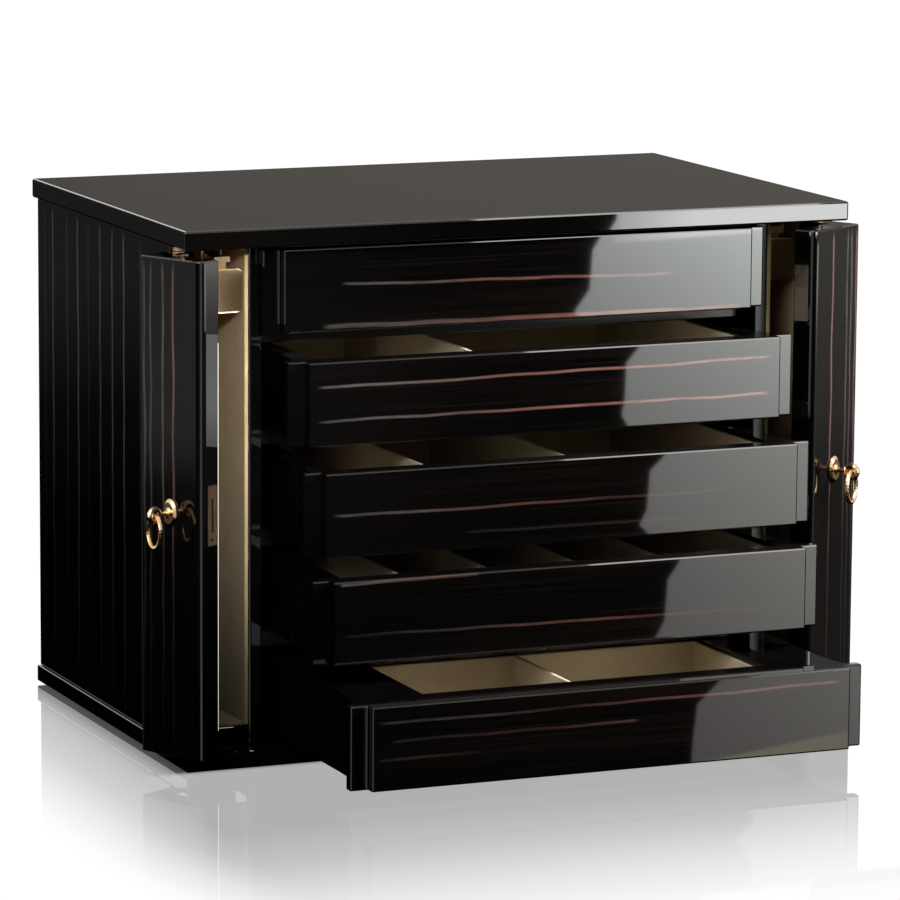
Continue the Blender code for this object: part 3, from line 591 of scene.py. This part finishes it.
def dress_slots():
    """The plain finishes, and every node that has one of them."""
    finishes = {
        "black_lacquer": black_lacquer("black_lacquer", BLACK_ROUGHNESS, BLACK_LEVEL),
        "beige_suede": suede("beige_suede", SUEDE_LIGHT, SUEDE_DARK),
        "polished_brass": metal("polished_brass", BRASS, BRASS_ROUGHNESS),
        "gold_plate": metal("gold_plate", GOLD, GOLD_ROUGHNESS),
        "black_felt": felt(),
    }
    for part in RECORD["subparts"]:
        if part["material_slot"] in finishes:
            dress(part["node"], finishes[part["material_slot"]])
    return finishes


def dress_all():
    """A material for every CAD node. Returns the plain finishes."""
    dress_fronts()
    dress_sides()
    dress_doors()
    dress("top_panel", ebony("ebony_top", RIGHTWARDS, BACKWARDS, []))
    finishes = dress_slots()
    satin = metal("satin_brass", BRASS, SATIN_ROUGHNESS)
    for side in SIDES:
        for kind in SATIN_KINDS:
            dress(f"{side}_{kind}", satin)
    inner = black_lacquer("inner_lacquer", INNER_ROUGHNESS, INNER_LEVEL)
    for name in INNER_BOARDS:
        dress(name, inner)
    return finishes


def soften(mesh):
    """Rounds the sharp edges of a mesh and makes it slightly uneven."""
    shape = bmesh.new()
    shape.from_mesh(mesh)
    bmesh.ops.remove_doubles(shape, verts=shape.verts, dist=WELD)
    bmesh.ops.dissolve_limit(shape, angle_limit=FLAT_ANGLE, verts=shape.verts, edges=shape.edges)
    folds = [edge for edge in shape.edges if len(edge.link_faces) == 2]
    sharp = [edge for edge in folds if edge.calc_face_angle() > SHARP_ANGLE]
    rounded = bmesh.ops.bevel(shape, geom=sharp, offset=SOFT_EDGE, segments=SOFT_SEGMENTS,
                              profile=SOFT_PROFILE, affect="EDGES", clamp_overlap=True)
    for face in rounded["faces"]:
        face.smooth = True
    shape.normal_update()
    for vertex in shape.verts:
        vertex.co -= vertex.normal * abs(noise_vector(vertex.co * UNEVEN_SCALE).x) * UNEVEN
    shape.to_mesh(mesh)
    shape.free()


def soft_piece(name, body, material):
    """Stands for a soft CAD node: the same form with rounded, slightly uneven edges."""
    mesh = NODES[name].data.copy()
    soften(mesh)
    mesh.materials.clear()
    mesh.materials.append(material)
    piece = bpy.data.objects.new("soft_" + name, mesh)
    bpy.context.scene.collection.objects.link(piece)
    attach(piece, body)
    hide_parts(name)


def make_soft_pieces(finishes):
    """Suede trays, linings and pads, and the felt underneath."""
    seed_set(UNEVEN_SEED)
    bodies = {node: body for body, nodes in RECORD["behaviour"]["bodies"].items() for node in nodes}
    # the linings get painted shade, darker towards the floor
    lining = suede("lining_suede_painted_shade", LINING_LIGHT, LINING_DARK, LINING_PAINTED_SHADE_SHARES)
    for part in RECORD["subparts"]:
        name = part["node"]
        slot = part["material_slot"]
        if slot in SOFT_SLOTS:
            inside = name.startswith(SIDES)
            soft_piece(name, bodies[name], lining if inside else finishes[slot])


def stage_card(name, corners, material, glossy_only=True):
    """A flat card of the studio, which isn't part of the chest."""
    mesh = bpy.data.meshes.new(name)
    mesh.from_pydata(corners, [], [tuple(range(len(corners)))])
    mesh.materials.append(material)
    card = bpy.data.objects.new(name, mesh)
    bpy.context.scene.collection.objects.link(card)
    if glossy_only:
        card.visible_camera = False
        card.visible_diffuse = False
        card.visible_shadow = False
        card.visible_transmission = False
    return card


def beyond(tree, place, direction, low, high):
    """How far a point lies outside a span, in metres."""
    away = calc(tree, "ABSOLUTE", calc(tree, "SUBTRACT", dot(tree, place, direction), (low + high) / 2))
    return calc(tree, "MAXIMUM", calc(tree, "SUBTRACT", away, (high - low) / 2), 0.0)


def mirror_share(tree, place):
    """How clear the floor's mirror is, by its distance from the chest."""
    low, high = cad_box
    aside = beyond(tree, place, RIGHTWARDS, low[0], high[0])
    aside = calc(tree, "MULTIPLY", aside, FLOOR_SIDE_STRETCH)
    behind = beyond(tree, place, BACKWARDS, low[1], high[1])
    squares = calc(tree, "ADD", calc(tree, "MULTIPLY", aside, aside), calc(tree, "MULTIPLY", behind, behind))
    return ramp(tree, calc(tree, "SQRT", squares), 0.0, FLOOR_REACH, FLOOR_MIRROR_SHARES)


def painted_contact_shadow(tree, place):
    """Painted contact shadow on the floor along both sides of the base: the mirror is made clearer there, so
    the floor shows the dark chest.
    """
    low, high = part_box("base_panel")
    x = calc(tree, "ABSOLUTE", dot(tree, place, RIGHTWARDS))
    y = dot(tree, place, BACKWARDS)
    painted_shadow = ramp(tree, x, high.x, high.x + CONTACT_SHADOW_REACH, CONTACT_SHADOW_SHARES)
    ahead = step(tree, y, low.y, low.y + CONTACT_SHADOW_FADE)
    behind = step(tree, y, high.y, high.y - CONTACT_SHADOW_FADE)
    return calc(tree, "MULTIPLY", painted_shadow, calc(tree, "MULTIPLY", ahead, behind))


def floor_material():
    """White acrylic, evenly lit: matt far away, with a clear mirror close to the chest, and a painted
    contact shadow along both sides of the base.
    """
    made, tree = empty_material("floor_white")
    place = object_place(tree)
    clear = mirror_share(tree, place)
    matt = calc(tree, "SUBTRACT", 1.0, clear)
    # painted contact shadow: the mirror share rises along both sides of the base
    share = calc(tree, "ADD", clear, calc(tree, "MULTIPLY", painted_contact_shadow(tree, place), matt))
    white = add(tree, "Emission", {"Color": WHITE, "Strength": FLOOR_WHITE})
    mirror = add(tree, "BsdfGlossy", {"Color": WHITE, "Roughness": FLOOR_ROUGHNESS})
    show(tree, add(tree, "MixShader", {0: share, 1: white, 2: mirror}))
    return made


def make_floor():
    """The pale floor. Nothing else reflects it, so that the black lacquer stays black."""
    signs = ((-1.0, -1.0), (1.0, -1.0), (1.0, 1.0), (-1.0, 1.0))
    corners = [(x * FLOOR_HALF, y * FLOOR_HALF, 0.0) for x, y in signs]
    card = stage_card("floor", corners, floor_material(), glossy_only=False)
    card.visible_glossy = False
    card.visible_diffuse = False


def glow(name, colour, strength, grading=None):
    """A light-giving material. With a grading, its strength changes along one direction."""
    made, tree = empty_material(name)
    if grading:
        direction, low, high, steps = grading
        factor = ramp(tree, dot(tree, object_place(tree), direction), low, high, steps)
        strength = calc(tree, "MULTIPLY", factor, strength)
    show(tree, add(tree, "Emission", {"Color": colour, "Strength": strength}))
    return made


def softbox_glow():
    """The big softbox grows brighter to the right and upwards, a little differently in each colour."""
    made, tree = empty_material("softbox_grey")
    place = object_place(tree)
    x = calc(tree, "MINIMUM", dot(tree, place, RIGHTWARDS), SOFTBOX_FULL)
    z = dot(tree, place, UPWARDS)
    squared = calc(tree, "MULTIPLY", z, z)
    parts = {}
    for channel, (start, sideways, upwards, curve) in SOFTBOX_GROWTH.items():
        power = calc(tree, "ADD", calc(tree, "MULTIPLY", x, sideways), start)
        power = calc(tree, "ADD", power, calc(tree, "MULTIPLY", z, upwards))
        power = calc(tree, "ADD", power, calc(tree, "MULTIPLY", squared, curve))
        parts[channel] = calc(tree, "EXPONENT", power)
    show(tree, add(tree, "Emission", {"Color": add(tree, "CombineColor", parts), "Strength": 1.0}))
    return made


def card_corners(facing, place):
    """The four corners of a rectangular card."""
    if facing == "forwards":
        left, right, depth, foot, top = place
        return [(left, depth, foot), (right, depth, foot), (right, depth, top), (left, depth, top)]
    across, front, rear, foot, top = place
    return [(across, front, foot), (across, rear, foot), (across, rear, top), (across, front, top)]


def make_card(name, facing, place, colour, strength, grading):
    """One rectangular card that only polished surfaces show."""
    stage_card(name, card_corners(facing, place), glow(name, colour, strength, grading))


def make_softbox():
    """The big softbox in front of the drawers, with its brighter end, top and low strip."""
    outline = [(x, SOFTBOX_DEPTH, z) for x, z in SOFTBOX_EDGE + SOFTBOX_RIGHT]
    top = [(x, SOFTBOX_STRIP_DEPTH, z) for x, z in SOFTBOX_TOP]
    low = [(x, SOFTBOX_STRIP_DEPTH, z) for x, z in SOFTBOX_LOW]
    stage_card("softbox_card", outline, softbox_glow())
    make_card(*SOFTBOX_END)
    stage_card("softbox_top", top, glow("softbox_top", SOFTBOX_TOP_COLOUR, 1.0, SOFTBOX_TOP_GRADING))
    stage_card("softbox_low", low, glow("softbox_low", SOFTBOX_LOW_COLOUR, SOFTBOX_LOW_STRENGTH))


def make_cards():
    """Everything around the chest that only polished surfaces show."""
    for card in REAR_CARDS:
        make_card(*card)
    make_softbox()
    for card in NEAR_CARDS:
        make_card(*card)


def make_world():
    """White to the eye, dim light from above, and to polished surfaces white above and black below."""
    world = bpy.data.worlds.new("studio")
    bpy.context.scene.world = world
    world.use_nodes = True
    tree = world.node_tree
    tree.nodes.clear()
    ray = tree.nodes.new("ShaderNodeLightPath")
    glossy = ray.outputs["Is Glossy Ray"]
    seen = ray.outputs["Is Camera Ray"]
    rise = add(tree, "SeparateXYZ", {0: add(tree, "TexCoord", output="Generated")}, output="Z")
    mirrored = calc(tree, "MULTIPLY", glossy, step(tree, rise, *MIRRORED_RISE, 0.0, WORLD_WHITE))
    matt = calc(tree, "SUBTRACT", 1.0, glossy)
    ambient = calc(tree, "MULTIPLY", matt, step(tree, rise, *AMBIENT_RISE, 0.0, AMBIENT))
    unseen = calc(tree, "MULTIPLY", calc(tree, "SUBTRACT", 1.0, seen), calc(tree, "ADD", mirrored, ambient))
    strength = calc(tree, "ADD", calc(tree, "MULTIPLY", seen, WORLD_WHITE), unseen)
    show(tree, add(tree, "Background", {"Color": WHITE, "Strength": strength}), "OutputWorld")


def hang_lamp(light, place, aim, mirrored):
    """Hangs a lamp at its place, turned towards its aim."""
    lamp = bpy.data.objects.new(light.name, light)
    bpy.context.scene.collection.objects.link(lamp)
    lamp.location = place
    lamp.rotation_euler = (Vector(aim) - Vector(place)).to_track_quat("-Z", "Y").to_euler()
    lamp.visible_glossy = mirrored


def make_lamps():
    """Two soft square lamps, and a narrow one on the left compartment."""
    for name, place, aim, size, power, mirrored in LAMPS:
        light = bpy.data.lights.new(name, "AREA")
        light.shape = "SQUARE"
        light.size = size
        light.energy = power
        hang_lamp(light, place, aim, mirrored)
    fill = bpy.data.lights.new("left_fill", "SPOT")
    fill.energy = FILL_POWER
    fill.spot_size = FILL_CONE
    fill.spot_blend = FILL_BLEND
    fill.shadow_soft_size = FILL_SIZE
    hang_lamp(fill, FILL_PLACE, FILL_AIM, False)


def make_camera():
    """The photograph's camera, far away with a long lens."""
    yaw = math.radians(CAMERA_YAW)
    pitch = math.radians(CAMERA_PITCH)
    roll = math.radians(CAMERA_ROLL)
    ahead = Vector((math.sin(yaw) * math.cos(pitch), math.cos(yaw) * math.cos(pitch), -math.sin(pitch)))
    level = Vector((math.cos(yaw), -math.sin(yaw), 0.0))
    above = level.cross(ahead)
    right = level * math.cos(roll) + above * math.sin(roll)
    up = above * math.cos(roll) - level * math.sin(roll)
    data = bpy.data.cameras.new("camera")
    data.lens = CAMERA_LENS
    data.sensor_width = SENSOR
    camera = bpy.data.objects.new("camera", data)
    bpy.context.scene.collection.objects.link(camera)
    camera.matrix_world = Matrix((right, up, -ahead)).transposed().to_4x4()
    camera.location = CAMERA_PLACE
    bpy.context.scene.camera = camera
    bpy.context.scene.view_settings.view_transform = "Standard"


make_soft_pieces(dress_all())
make_floor()
make_cards()
make_world()
make_lamps()
make_camera()
